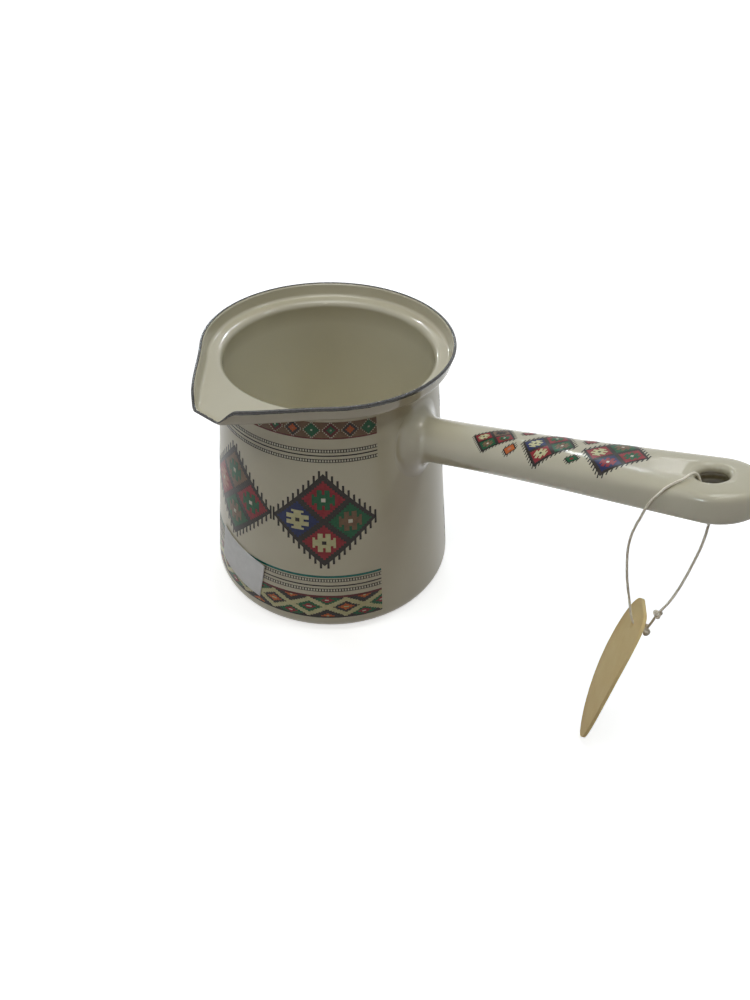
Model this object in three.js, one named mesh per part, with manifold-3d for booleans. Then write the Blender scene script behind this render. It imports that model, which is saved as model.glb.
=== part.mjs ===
// Enamelled coffee pot: a drawn body with a flared collar and a pouring lip, a hollow side handle
// pressed in two halves, a paper label on the wall, and a card tag tied to the handle with string.
// Millimetres, +Z up. The origin is the middle of the base, the handle runs to +X, the lip to -Y.

import * as THREE from "three";
import { mergeVertices } from "three/addons/utils/BufferGeometryUtils.js";
import Module from "manifold-3d";

const wasm = await Module();
wasm.setup();

// Pot body
const wall = 1.1;
const baseRadius = 48;
const baseCorner = 5.4;
const neckRadius = 38.5;
const collarHeight = 7.2;
const neckFillet = 1;
const shelfLean = THREE.MathUtils.degToRad(84);
const collarFillet = 2.4;
const collarLean = THREE.MathUtils.degToRad(12);
const rimRadius = 44.5;
const potHeight = 100;
const neckHeight = potHeight - collarHeight;
const roundSteps = 96;
const baseSteps = 4;
const neckSteps = 4;
const collarSteps = 4;

// Pouring lip
const lipAzimuth = THREE.MathUtils.degToRad(-93);
const lipHalfAngle = THREE.MathUtils.degToRad(46.5);
const lipTipWidth = 9.4;
const lipBulge = 1.2;
const lipDip = 4.4;
const lipDipRun = 5.5;

// Dark edging on the rim
const edgingHeight = 1;

// Handle
const handleRoot = new THREE.Vector3(40, 0, 74.7);
const handleTilt = THREE.MathUtils.degToRad(14.8);
const handleLength = 111;
const handleRootWidth = 13.2;
const handleRootThickness = 16.2;
const handleEndWidth = 22.4;
const handleEndThickness = 10.5;
const handleNose = 13;
const handleWall = 1.2;
const handleFlare = 3.2;
const handleFlareRun = 4;
const handleInset = 8;
const handleRoundness = 2;
const handleEndSquareness = 5;
const handleSectionSteps = 28;
const noseWidthPower = 1.8;
const noseThicknessPower = 3;

// Hanging hole near the handle's end
const holeDiameter = 8.4;
const holeFromEnd = 14;
const holeEdgeRound = 2;
const holeSteps = 28;
const holeEdgeSteps = 4;

// Paper label on the wall
const labelWidth = 26;
const labelHeight = 17;
const labelThickness = 0.3;
const labelAzimuth = THREE.MathUtils.degToRad(-101.2);
const labelHeightMiddle = 20.1;
const labelTilt = THREE.MathUtils.degToRad(-7.5);

// Card tag and its string
const tagLength = 58.5;
const tagWidth = 21;
const tagThickness = 1;
const tagHoleDiameter = 2.6;
const tagHoleFromTop = 7;
const cordDiameter = 0.75;
const knotDiameter = 2.4;

// Clearances
const touchGap = 0.3;

const enamel = { color: 0xe9dcbc, roughness: 0.12, metalness: 0 };
const darkEnamel = { color: 0x23252b, roughness: 0.15, metalness: 0 };
const paper = { color: 0xf1efe9, roughness: 0.7, metalness: 0 };
const card = { color: 0x9b6f47, roughness: 0.8, metalness: 0 };
const string = { color: 0xa79a86, roughness: 0.9, metalness: 0 };

const pot = new THREE.Group();

function addPiece(name, geometry, look) {
  const mesh = new THREE.Mesh(geometry, new THREE.MeshStandardMaterial(look));
  mesh.name = name;
  pot.add(mesh);
}

function onlyPositions(geometry) {
  geometry.deleteAttribute("normal");
  geometry.deleteAttribute("uv");
  return mergeVertices(geometry, 1e-4);
}

function solidOf(geometry) {
  const merged = onlyPositions(geometry);
  const vertProperties = new Float32Array(merged.attributes.position.array);
  const triVerts = new Uint32Array(merged.index.array);
  return new wasm.Manifold(new wasm.Mesh({ numProp: 3, vertProperties, triVerts }));
}

function geometryOf(solid) {
  const mesh = solid.getMesh();
  const geometry = new THREE.BufferGeometry();
  geometry.setAttribute("position", new THREE.BufferAttribute(new Float32Array(mesh.vertProperties), 3));
  geometry.setIndex(Array.from(mesh.triVerts));
  return geometry;
}

// A closed skin over rings of equal point counts, wound so that its faces point out.
// Capped skins end in flat fans; uncapped ones join the last ring to the first.
function skin(rings, capped) {
  const points = rings.flat();
  const around = rings[0].length;
  const index = [];
  const lastRing = capped ? rings.length - 1 : rings.length;
  for (let ring = 0; ring < lastRing; ring += 1) {
    const here = ring * around;
    const next = ((ring + 1) % rings.length) * around;
    for (let step = 0; step < around; step += 1) {
      const after = (step + 1) % around;
      index.push(here + step, here + after, next + after);
      index.push(here + step, next + after, next + step);
    }
  }
  if (capped) {
    const ends = [[0, true], [rings.length - 1, false]];
    for (const [ring, reversed] of ends) {
      const middle = new THREE.Vector3();
      rings[ring].forEach((point) => middle.add(point));
      points.push(middle.divideScalar(around));
      const first = ring * around;
      for (let step = 0; step < around; step += 1) {
        const pair = [first + step, first + ((step + 1) % around)];
        if (reversed) {
          pair.reverse();
        }
        index.push(pair[0], pair[1], points.length - 1);
      }
    }
  }
  const geometry = new THREE.BufferGeometry().setFromPoints(points);
  geometry.setIndex(index);
  return geometry;
}

function smoothStep(from, to, value) {
  return THREE.MathUtils.smoothstep(value, from, to);
}

// A unit step along a line that leans out from the upright, and one square to it on its left
function leaning(angle) {
  return new THREE.Vector2(Math.sin(angle), Math.cos(angle));
}

function leftOf(angle) {
  return new THREE.Vector2(-Math.cos(angle), Math.sin(angle));
}

// Wall profile, as (radius, height) points of the outer face: the base corner, the neck's fillet, and
// the collar's fillet between its shelf and its leaning edge, which reaches the rim
function outerProfile() {
  const corner = new THREE.Vector2(baseRadius - baseCorner, baseCorner);
  const neck = new THREE.Vector2(neckRadius + neckFillet, neckHeight);
  const across = neck.clone().sub(corner);
  const wallAngle = across.angle() - Math.acos((baseCorner + neckFillet) / across.length());
  const shelfStart = neck.clone().addScaledVector(leftOf(shelfLean), neckFillet);
  const collarTurn = leftOf(shelfLean).sub(leftOf(collarLean)).multiplyScalar(collarFillet);
  const straights = new THREE.Vector2(rimRadius, potHeight).sub(shelfStart).sub(collarTurn);
  const shelfRun = straights.cross(leaning(collarLean)) / leaning(shelfLean).cross(leaning(collarLean));
  const collar = shelfStart.clone().addScaledVector(leaning(shelfLean), shelfRun);
  collar.addScaledVector(leftOf(shelfLean), collarFillet);
  const arcs = [
    [corner, baseCorner, -Math.PI / 2, wallAngle, false, baseSteps],
    [neck, neckFillet, Math.PI + wallAngle, Math.PI - shelfLean, true, neckSteps],
    [collar, collarFillet, -shelfLean, -collarLean, false, collarSteps],
  ];
  return arcs.flatMap(([middle, radius, from, to, clockwise, steps]) => {
    return new THREE.EllipseCurve(middle.x, middle.y, radius, radius, from, to, clockwise).getPoints(steps);
  });
}

// Moves a profile towards the inside of the pot by a distance, square to its own line
function shifted(profile, distance) {
  return profile.map((point, order) => {
    const before = profile[Math.max(order - 1, 0)];
    const after = profile[Math.min(order + 1, profile.length - 1)];
    const along = after.clone().sub(before).normalize();
    const inward = order === 0 ? new THREE.Vector2(0, 1) : new THREE.Vector2(-along.y, along.x);
    return point.clone().addScaledVector(inward, distance);
  });
}

// How far the lip carries the rim outwards at an azimuth, and how far the rim dips there
function lipAt(azimuth) {
  const turn = Math.abs(Math.atan2(Math.sin(azimuth - lipAzimuth), Math.cos(azimuth - lipAzimuth)));
  const tangentTurn = Math.PI / 2 - lipHalfAngle;
  if (turn > tangentTurn) {
    return { reach: 0, dip: 0 };
  }
  const apex = rimRadius / Math.sin(lipHalfAngle);
  const tip = apex - lipTipWidth / 2 / Math.tan(lipHalfAngle);
  const bulge = lipBulge * Math.sin(Math.PI * (1 - turn / tangentTurn) ** 2);
  const side = rimRadius / Math.cos(tangentTurn - turn) + bulge;
  const radius = Math.min(side, tip / Math.cos(turn));
  const across = radius * Math.sin(turn);
  const dip = lipDip * (1 - smoothStep(lipTipWidth / 2, lipTipWidth / 2 + lipDipRun, across));
  return { reach: radius - rimRadius, dip };
}

// One turn of points at a profile point: the lip pulls it outwards and its dip lowers it
function ringAt(point, pull, rise) {
  const ring = [];
  for (let step = 0; step < roundSteps; step += 1) {
    const azimuth = lipAzimuth + (step / roundSteps) * 2 * Math.PI;
    const lip = lipAt(azimuth);
    const radius = point.x + lip.reach * pull;
    const height = point.y - lip.dip * rise;
    ring.push(new THREE.Vector3(radius * Math.cos(azimuth), radius * Math.sin(azimuth), height));
  }
  return ring;
}

const outside = outerProfile();
const inside = shifted(outside, wall);
const shelfEnd = outside.length - 1 - collarSteps;
const shelfHeight = outside[shelfEnd].y;
const edgeThickness = wall / Math.cos(collarLean);

// Share of the lip's dip at a height: none at the shelf, all of it at the rim
function riseAt(height) {
  return Math.max(0, (height - shelfHeight) / (potHeight - shelfHeight));
}

// Outer and inner points of the collar's leaning edge at a height
function edgeAt(height) {
  const radius = rimRadius - (potHeight - height) * Math.tan(collarLean);
  return [new THREE.Vector2(radius, height), new THREE.Vector2(radius - edgeThickness, height)];
}

function makeBody() {
  const profileRing = (point, order) => ringAt(point, order < shelfEnd ? 0 : 1, riseAt(outside[order].y));
  const foot = potHeight - edgingHeight - touchGap;
  const rings = outside.map(profileRing);
  rings.push(...edgeAt(foot).map((point) => ringAt(point, 1, riseAt(foot))));
  rings.push(...inside.map(profileRing).reverse());
  return skin(rings, true);
}

function makeEdging() {
  const middle = new THREE.Vector2(rimRadius - wall / 2, potHeight - wall / 2);
  const [outerFoot, innerFoot] = edgeAt(potHeight - edgingHeight);
  const section = [outerFoot];
  for (const lean of [0, 45, 90, 135, 180]) {
    const angle = THREE.MathUtils.degToRad(lean);
    const outward = new THREE.Vector2(Math.cos(angle), Math.sin(angle));
    section.push(middle.clone().addScaledVector(outward, wall / 2));
  }
  section.push(innerFoot);
  return skin(section.map((point) => ringAt(point, 1, riseAt(point.y))), false);
}

// The filled body, grown by a clearance, for cutting what meets its wall
function bodyBlank(clearance) {
  const grown = shifted(outside, -clearance);
  return solidOf(skin(grown.map((point) => ringAt(point, 0, 0)), true));
}

// Handle half sizes at a distance along its own axis, with an inset for the hollow
function handleHalfSizes(along, inset) {
  const share = THREE.MathUtils.clamp(along / (handleLength - handleNose), 0, 1);
  const flare = handleFlare * Math.exp(-Math.max(along, 0) / handleFlareRun);
  const nose = Math.max(0, (along - (handleLength - handleNose)) / handleNose);
  const noseWidth = (1 - nose ** noseWidthPower) ** (1 / noseWidthPower);
  const noseThickness = (1 - nose ** noseThicknessPower) ** (1 / noseThicknessPower);
  const width = THREE.MathUtils.lerp(handleRootWidth, handleEndWidth, share) / 2 + flare;
  const thickness = THREE.MathUtils.lerp(handleRootThickness, handleEndThickness, share) / 2 + flare;
  return {
    width: Math.max(width * noseWidth - inset, touchGap),
    thickness: Math.max(thickness * noseThickness - inset, touchGap),
    square: THREE.MathUtils.lerp(handleRoundness, handleEndSquareness, share),
  };
}

function handleRing(along, inset) {
  const half = handleHalfSizes(along, inset);
  const ring = [];
  for (let step = 0; step < handleSectionSteps; step += 1) {
    const angle = (step / handleSectionSteps) * 2 * Math.PI;
    const across = Math.sign(Math.cos(angle)) * Math.abs(Math.cos(angle)) ** (2 / half.square);
    const up = Math.sign(Math.sin(angle)) * Math.abs(Math.sin(angle)) ** (2 / half.square);
    ring.push(new THREE.Vector3(along, across * half.width, up * half.thickness));
  }
  return ring;
}

function handleBlank(inset) {
  const noseStart = handleLength - handleNose;
  const stations = [-handleInset, 0, 2, 4.5, 8, 14, 30, 55, 80, noseStart];
  for (const share of [0.3, 0.55, 0.75, 0.9, 0.98]) {
    stations.push(noseStart + share * (handleNose - inset));
  }
  return solidOf(skin(stations.map((along) => handleRing(along, inset)), true));
}

// A spool about the hanging hole's axis: straight in the middle, flared to the handle's faces
function holeSpool(grow) {
  const radius = holeDiameter / 2 + grow;
  const half = handleEndThickness / 2;
  const straight = half - holeEdgeRound;
  const profile = [new THREE.Vector2(0, -half - handleWall)];
  profile.push(new THREE.Vector2(radius + holeEdgeRound, -half - handleWall));
  for (const side of [-1, 1]) {
    const arc = [];
    for (let step = 0; step <= holeEdgeSteps; step += 1) {
      const angle = (step / holeEdgeSteps) * (Math.PI / 2);
      const out = radius + holeEdgeRound * (1 - Math.cos(angle));
      arc.push(new THREE.Vector2(out, side * (straight + holeEdgeRound * Math.sin(angle))));
    }
    profile.push(...(side < 0 ? arc.reverse() : arc));
  }
  profile.push(new THREE.Vector2(radius + holeEdgeRound, half + handleWall));
  profile.push(new THREE.Vector2(0, half + handleWall));
  const spool = new THREE.LatheGeometry(profile, holeSteps);
  spool.rotateX(Math.PI / 2);
  spool.translate(handleLength - holeFromEnd, 0, 0);
  return solidOf(spool);
}

function seamSlab(side) {
  const slab = new THREE.BoxGeometry(4 * handleLength, 4 * handleEndWidth, 4 * handleRootThickness);
  slab.translate(0, 0, side * (2 * handleRootThickness - touchGap / 2));
  return solidOf(slab);
}

const handlePlace = new THREE.Matrix4()
  .makeTranslation(handleRoot)
  .multiply(new THREE.Matrix4().makeRotationY(-handleTilt));

function makeHandleHalves() {
  const hull = handleBlank(0);
  const sleeve = holeSpool(handleWall).intersect(hull);
  const shell = hull.subtract(handleBlank(handleWall)).add(sleeve).subtract(holeSpool(0));
  const blank = bodyBlank(touchGap);
  const halves = {};
  for (const [name, side] of [["handle_upper_shell", -1], ["handle_lower_shell", 1]]) {
    const half = geometryOf(shell.subtract(seamSlab(side)));
    half.applyMatrix4(handlePlace);
    halves[name] = geometryOf(solidOf(half).subtract(blank));
  }
  return halves;
}

// Radius of the straight wall at a height, from the profile's own points
function wallRadius(height) {
  const upper = outside.findIndex((point) => point.y > height);
  const [low, high] = [outside[upper - 1], outside[upper]];
  return THREE.MathUtils.mapLinear(height, low.y, high.y, low.x, high.x);
}

function makeLabel() {
  const steps = 10;
  const rings = [];
  for (let step = 0; step <= steps; step += 1) {
    const along = (step / steps - 0.5) * labelWidth;
    const ring = [];
    const corners = [[-0.5, 0], [0.5, 0], [0.5, labelThickness], [-0.5, labelThickness]];
    for (const [share, proud] of corners) {
      const up = share * labelHeight;
      const height = labelHeightMiddle + up * Math.cos(labelTilt) + along * Math.sin(labelTilt);
      const radius = wallRadius(height);
      const sideways = along * Math.cos(labelTilt) - up * Math.sin(labelTilt);
      const azimuth = labelAzimuth + sideways / radius;
      const out = radius + touchGap + proud;
      ring.push(new THREE.Vector3(out * Math.cos(azimuth), out * Math.sin(azimuth), height));
    }
    rings.push(ring);
  }
  return skin(rings, true);
}

// The string's hand-laid route: from the tag up the left strand, over the handle's top to its hole,
// down through the hole and down the right strand to the two knots behind the tag
const tagHole = new THREE.Vector3(129.3, -11.8, 51.1);
const upperKnot = new THREE.Vector3(133.8, -10.5, 58);
const lowerKnot = new THREE.Vector3(132.4, -10.8, 49.9);
const leftStrand = [
  [131.1, -11.2, 50.4],
  [129.3, -11.8, 51.1],
  [128.2, -12.1, 52.2],
  [127.2, -12.2, 54.2],
  [125.9, -12.1, 57.6],
  [123.1, -12, 65.5],
  [121.4, -12, 71.8],
  [120.2, -12.1, 78],
  [119.9, -12.1, 83.5],
  [120.4, -12.1, 88.7],
];
const overHandle = [
  [120.6, -12.1, 89.5],
  [121.2, -12.1, 93.9],
  [122, -12.1, 97.3],
  [123, -11.8, 99.6],
  [124.1, -10.4, 101.7],
  [125.6, -8.7, 103.2],
  [127.1, -6.9, 104.2],
  [127.9, -4.7, 104.6],
  [128.6, -2.8, 104.3],
  [129.6, -1.7, 103.2],
  [130.8, -1.6, 101.2],
  [132.6, -2, 98.6],
  [134.7, -2.6, 96],
  [135.8, -3.2, 94.2],
  [136.7, -4.2, 92],
  [137.1, -5, 89.5],
];
const rightStrand = [
  [137.2, -5.2, 88.7],
  [137.4, -6.2, 84.5],
  [137.2, -7.4, 79],
  [136.7, -8.6, 72],
  [135.7, -9.7, 65],
  [134.2, -10.4, 59.5],
];
const tieStrand = [
  [133.5, -10.6, 56.5],
  [133.1, -10.7, 54],
  [132.6, -10.8, 51.4],
];

function cordAlong(route) {
  const curve = new THREE.CatmullRomCurve3(route.map((point) => new THREE.Vector3(...point)));
  const section = new THREE.Shape();
  const sides = 8;
  for (let side = 0; side < sides; side += 1) {
    const angle = (side / sides) * 2 * Math.PI;
    const move = side === 0 ? "moveTo" : "lineTo";
    section[move]((cordDiameter / 2) * Math.cos(angle), (cordDiameter / 2) * Math.sin(angle));
  }
  const steps = Math.max(2, Math.round(curve.getLength() / (2.5 * cordDiameter)));
  const tube = new THREE.ExtrudeGeometry(section, { steps, extrudePath: curve });
  return onlyPositions(tube);
}

function makeKnot(place) {
  const knot = new THREE.SphereGeometry(knotDiameter / 2, 12, 8);
  knot.scale(1, 0.85, 1);
  knot.translate(place.x, place.y, place.z);
  return onlyPositions(knot);
}

// The tag leans from its hole down to its tip, which rests on the surface that the pot stands on
const tagTipPlace = new THREE.Vector3(126.3, -21.2, 0.6);
const tagFacing = THREE.MathUtils.degToRad(24);

function makeTag() {
  const half = tagWidth / 2;
  const outline = new THREE.Shape();
  outline.moveTo(0, 0);
  outline.bezierCurveTo(half * 0.6, tagLength * 0.02, half, tagLength * 0.3, half, tagLength * 0.58);
  outline.bezierCurveTo(half, tagLength * 0.8, half * 0.85, tagLength, half * 0.3, tagLength);
  outline.lineTo(-half * 0.3, tagLength);
  outline.bezierCurveTo(-half * 0.85, tagLength, -half, tagLength * 0.8, -half, tagLength * 0.58);
  outline.bezierCurveTo(-half, tagLength * 0.3, -half * 0.6, tagLength * 0.02, 0, 0);
  const hole = new THREE.Path();
  hole.absarc(0, tagLength - tagHoleFromTop, tagHoleDiameter / 2, 0, 2 * Math.PI, true);
  outline.holes.push(hole);
  const sheet = { depth: tagThickness, bevelEnabled: false, curveSegments: 8 };
  const tag = new THREE.ExtrudeGeometry(outline, sheet);
  tag.translate(0, 0, -tagThickness / 2);
  const up = tagHole.clone().sub(tagTipPlace).normalize();
  const facing = new THREE.Vector3(-Math.cos(tagFacing), -Math.sin(tagFacing), 0);
  const across = up.clone().cross(facing).normalize();
  const place = new THREE.Matrix4().makeBasis(across, up, across.clone().cross(up));
  const tip = tagHole.clone().addScaledVector(up, tagHoleFromTop - tagLength);
  place.setPosition(tip);
  tag.applyMatrix4(place);
  return onlyPositions(tag);
}

addPiece("pot_body", makeBody(), enamel);
addPiece("rim_edging", makeEdging(), darkEnamel);
for (const [name, half] of Object.entries(makeHandleHalves())) {
  addPiece(name, half, enamel);
}
addPiece("paper_label", makeLabel(), paper);
addPiece("cord_over_handle", cordAlong(overHandle), string);
addPiece("cord_left_strand", cordAlong(leftStrand), string);
addPiece("cord_right_strand", cordAlong(rightStrand), string);
addPiece("cord_tie", cordAlong(tieStrand), string);
addPiece("knot_upper", makeKnot(upperKnot), string);
addPiece("knot_lower", makeKnot(lowerKnot), string);
addPiece("hang_tag", makeTag(), card);

export default pot;
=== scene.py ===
import math
import re

import bpy
from mathutils import Matrix, Vector, noise


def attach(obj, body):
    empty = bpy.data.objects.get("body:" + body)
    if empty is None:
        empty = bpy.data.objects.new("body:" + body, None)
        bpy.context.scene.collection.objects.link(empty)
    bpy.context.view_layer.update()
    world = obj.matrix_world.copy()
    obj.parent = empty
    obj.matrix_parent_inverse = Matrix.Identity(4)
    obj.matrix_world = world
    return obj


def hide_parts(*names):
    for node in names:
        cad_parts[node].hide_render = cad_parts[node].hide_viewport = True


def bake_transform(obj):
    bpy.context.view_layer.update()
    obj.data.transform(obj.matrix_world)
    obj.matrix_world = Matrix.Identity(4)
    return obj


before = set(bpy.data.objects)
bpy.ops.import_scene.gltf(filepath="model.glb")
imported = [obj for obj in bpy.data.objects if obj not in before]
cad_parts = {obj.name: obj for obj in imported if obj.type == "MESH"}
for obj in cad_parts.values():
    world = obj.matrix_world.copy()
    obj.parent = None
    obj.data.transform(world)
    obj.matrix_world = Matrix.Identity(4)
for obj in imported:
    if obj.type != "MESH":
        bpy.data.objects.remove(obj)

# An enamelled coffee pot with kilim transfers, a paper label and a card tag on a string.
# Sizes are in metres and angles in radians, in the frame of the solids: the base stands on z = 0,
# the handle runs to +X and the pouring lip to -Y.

MM = 0.001
FULL_TURN = 2 * math.pi
QUARTER_TURN = math.pi / 2
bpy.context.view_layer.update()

# Pot body
WALL = 1.1 * MM
BASE_RADIUS = 48 * MM
BASE_CORNER = 5.4 * MM
BASE_EYE = 1 * MM
NECK_RADIUS = 38.5 * MM
NECK_FILLET = 1 * MM
SHELF_LEAN = math.radians(84)
COLLAR_HEIGHT = 7.2 * MM
COLLAR_FILLET = 2.4 * MM
COLLAR_LEAN = math.radians(12)
RIM_RADIUS = 44.5 * MM
POT_HEIGHT = 100 * MM
NECK_HEIGHT = POT_HEIGHT - COLLAR_HEIGHT

# Steps of the body's profile from the base to the rim, and of one turn round it
BASE_STEPS = 10
WALL_STEPS = 24
THROAT_STEPS = 12
SHELF_STEPS = 10
COLLAR_STEPS = 12
EDGE_STEPS = 8
RIM_STEPS = 8
ROUND_STEPS = 320

# Pouring lip; the crowding draws the steps of a turn together over it
LIP_AZIMUTH = math.radians(-93)
LIP_HALF_ANGLE = math.radians(46.5)
LIP_TIP_WIDTH = 9.4 * MM
LIP_CORNER = 0.8 * MM
LIP_BULGE = 1.2 * MM
LIP_DIP = 4.4 * MM
LIP_DIP_RUN = 5.5 * MM
LIP_CROWDING = 0.62

# Dark edging on the rim; each wave of its ragged borders has a height and a fineness
EDGING_OUTSIDE = 0.7 * MM
EDGING_TURN = math.radians(139)
EDGING_PROUD = 0.04 * MM
EDGING_THICKNESS = 0.12 * MM
EDGING_OUTER_STEPS = 10
EDGING_INNER_STEPS = 4
EDGING_WAVES = [(0.096 * MM, 700), (0.06 * MM, 2400)]

# Handle, with a section that grows from round to squarer along it
HANDLE_ROOT = Vector((40, 0, 74.7)) * MM
HANDLE_TILT = math.radians(14.8)
HANDLE_LENGTH = 111 * MM
HANDLE_ROOT_WIDTH = 13.2 * MM
HANDLE_ROOT_THICKNESS = 16.2 * MM
HANDLE_END_WIDTH = 22.4 * MM
HANDLE_END_THICKNESS = 10.5 * MM
HANDLE_ROUNDNESS = 2
HANDLE_END_SQUARENESS = 5
HANDLE_SQUARE_RISE = 3
HANDLE_STEPS = 72
SHAFT_START = 14.5 * MM
SHAFT_STEPS = 30

# Fillet at the handle's root; its skirt runs out just under the wall's face, which is found in a few tries
ROOT_FILLET = 6.5 * MM
ROOT_SKIRT = 0.6 * MM
ROOT_SUNK = 0.04 * MM
ROOT_STEPS = 14
WALL_TRIES = 12

# Nose of the handle, closed by a small flat at a share of its length
NOSE_LENGTH = 13 * MM
NOSE_START = HANDLE_LENGTH - NOSE_LENGTH
NOSE_WIDTH_POWER = 1.8
NOSE_THICKNESS_POWER = 3
NOSE_FLAT = 0.9985
NOSE_STEPS = 14

# Hanging hole, with rolled edges and the handle's hollow between them
HOLE_DIAMETER = 8.4 * MM
HOLE_FROM_END = 14 * MM
HOLE_EDGE_ROUND = 2 * MM
HOLE_EDGE_PROUD = 0.15 * MM
HOLE_EDGE_REACH = 4.8 * MM
HOLE_EDGE_STEPS = 12
HOLE_ROLL = 0.5 * MM
HOLE_HOLLOW = 4 * MM
HOLE_STEPS = 64

# Enamel: one attribute says how deep inside the pot a point lies, between two heights, which paints light
# on the enamel there, lighter the deeper it lies; the other says that a point lies on the wall outside
INSIDE_LIGHT_SHARE = "inside_light_share"
INSIDE_LIGHT_HEIGHTS = (94 * MM, 84 * MM)
OUTSIDE_DULL = "outside_dull"
ENAMEL_DARK = (0.57, 0.525, 0.39)
ENAMEL_LIGHT = (0.595, 0.55, 0.415)
# Painted light: the lighter colour that the enamel takes deep inside the pot, in place of light falling there
ENAMEL_INSIDE_LIT = (0.82, 0.78, 0.64, 1)
ENAMEL_ROUGHNESS = 0.07
WALL_ROUGHNESS = 0.3

# Inks of the transfers, each between a darker and a lighter colour
INK_COLOURS = {
    "dark": ((0.018, 0.013, 0.009), (0.03, 0.021, 0.016)),
    "red": ((0.25, 0.018, 0.025), (0.32, 0.028, 0.037)),
    "maroon": ((0.1, 0.013, 0.013), (0.14, 0.02, 0.018)),
    "green": ((0.007, 0.083, 0.03), (0.011, 0.112, 0.043)),
    "navy": ((0.013, 0.02, 0.08), (0.02, 0.03, 0.108)),
    "cream": ((0.56, 0.53, 0.3), (0.63, 0.6, 0.35)),
    "white": ((0.66, 0.63, 0.51), (0.71, 0.68, 0.57)),
    "tan": ((0.166, 0.1, 0.055), (0.21, 0.125, 0.07)),
    "orange": ((0.51, 0.108, 0.025), (0.61, 0.158, 0.041)),
    "teal": ((0.008, 0.125, 0.104), (0.013, 0.166, 0.137)),
    "pink": ((0.41, 0.166, 0.1), (0.5, 0.23, 0.15)),
}

# Transfers: ink lies in layers, in patches short enough to follow the surface
LAYER_LIFT = 0.035 * MM
FRINGE_LAYER = 1.2
BOX_STEP = 1.6 * MM
DIAMOND_STEP = 1.8 * MM
DIAMOND_ROWS = 30

# Medallions; the wall's transfers leave a bare gap round the handle
PRINT_GAP = math.radians(27.8)
MEDALLION_PITCH = math.radians(50.7)
MEDALLION_FIRST = math.radians(54.4)
MEDALLION_HEIGHT = 51.9 * MM
MEDALLION_HALF = (18.7 * MM, 19.6 * MM)
SMALL_OFFSET = (9.3 * MM, 9.1 * MM)
STEP_CELL = 0.894 * MM
STEPS_HALF = 8
MOTIF_CELL = 0.9 * MM
MOTIF_HEART = 0.765 * MM
TOOTH_PITCH = 1.9 * MM
TOOTH_FIRST = 1.3 * MM
TOOTH_WIDTH = 0.8 * MM
TOOTH_REACH = 2.9 * MM
TOOTH_ROOT = TOOTH_REACH / 6
HOOKED_MOTIF = [
    "..##.##..",
    "..##.##..",
    "#.#####.#",
    "#########",
    "####o####",
    "#########",
    "#.#####.#",
    "..##.##..",
    "..##.##..",
]

# Ground, motif and centre inks of a small diamond
RED_CREAM = ("red", "cream", "dark")
RED_GREEN = ("red", "green", "white")
RED_PINK = ("red", "pink", "white")
NAVY_CREAM = ("navy", "cream", "dark")
NAVY_RED = ("navy", "red", "white")
GREEN_TAN = ("green", "tan", "white")
TAN_GREEN = ("tan", "green", "white")
TAN_DARK = ("tan", "dark", "dark")

# The two medallions that take turns round the wall, each by its small diamonds: top, left, right, bottom
BLUE_MEDALLION = (RED_GREEN, NAVY_CREAM, GREEN_TAN, RED_CREAM)
BROWN_MEDALLION = (TAN_GREEN, RED_PINK, RED_GREEN, GREEN_TAN)
MEDALLIONS = [BLUE_MEDALLION, BROWN_MEDALLION]

# Bands, lines and ladders round the wall, with their heights in millimetres:
# the top band holds loose diamonds and the lower one a zigzag lattice
TOP_BAND = (85.1, 90.8)
TOP_EDGE = 0.5
TOP_PITCH = math.radians(9.1)
TOP_FIRST = math.radians(32)
TOP_CELL = (0.64 * MM, 0.58 * MM)
TOP_STEPS = 5
TOP_DOT = 0.19 * MM
TOP_INKS = [("green", "green", "white"), ("dark", "orange", "pink"), ("maroon", "green", "white")]
WALL_LINES = [("dark", 78.1, 78.6), ("teal", 26.7, 27.7), ("dark", 22.6, 23.2)]
WALL_LADDERS = [(79.5, 80.8), (75.8, 77.1), (24.7, 26.2), (20.1, 21.6)]
LADDER_LINE = 0.25
LADDER_PITCH = 0.98 * MM
LADDER_RUNG = 0.36 * MM
LOW_BAND = (7.9, 17.2)
LOW_UPPER_EDGE = 1
LOW_LOWER_EDGE = 0.7
LOW_PITCH = math.radians(17.1)
LOW_FIRST = math.radians(45)
LOW_ROWS = 19
LOW_CELLS = 28
LATTICE_RISE = 0.8
LATTICE_HALF = 0.28

# Inks of a lattice cell outwards from its middle, by shares of its size,
# and the level of the green cells at the band's two edges
ORANGE_CELL = [(0.14, "cream"), (0.42, "orange")]
GREEN_CELL = [(0.12, "white"), (0.36, "red"), (0.8, "green")]
GREEN_CELL_LEVEL = 0.72

# Transfers on the handle, each by its left, right and near corners in millimetres: along the handle,
# and round it from the middle of its top. The spots' diamonds are shares of a medallion, with coarser teeth.
HANDLE_MEDALLIONS = [
    ([(25, -3.7), (39, -1.9), (29.6, -8.5)], (TAN_DARK, RED_CREAM, RED_GREEN, GREEN_TAN)),
    ([(42, -2.7), (58.3, -0.4), (48.4, -10.3)], BLUE_MEDALLION),
    ([(60.9, -1), (79.6, 1.1), (69.4, -9.7)], (GREEN_TAN, RED_CREAM, RED_GREEN, NAVY_RED)),
]
HANDLE_SPOTS = [
    ([(36.3, -6.6), (41.4, -5.4), (38.2, -8.7)], "orange", "pink"),
    ([(56.7, -6.1), (62, -5.3), (58.8, -7.8)], "green", "red"),
    ([(38.7, 2.2), (43.7, 3.4), (40.6, 0.8)], "red", "tan"),
    ([(58.2, 4.2), (63.4, 5.2), (60.5, 2.3)], "red", "tan"),
]
SPOT_EDGE = 0.85
SPOT_GROUND = 0.68
SPOT_HEART = 0.25
SPOT_TEETH = 2.6

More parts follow.
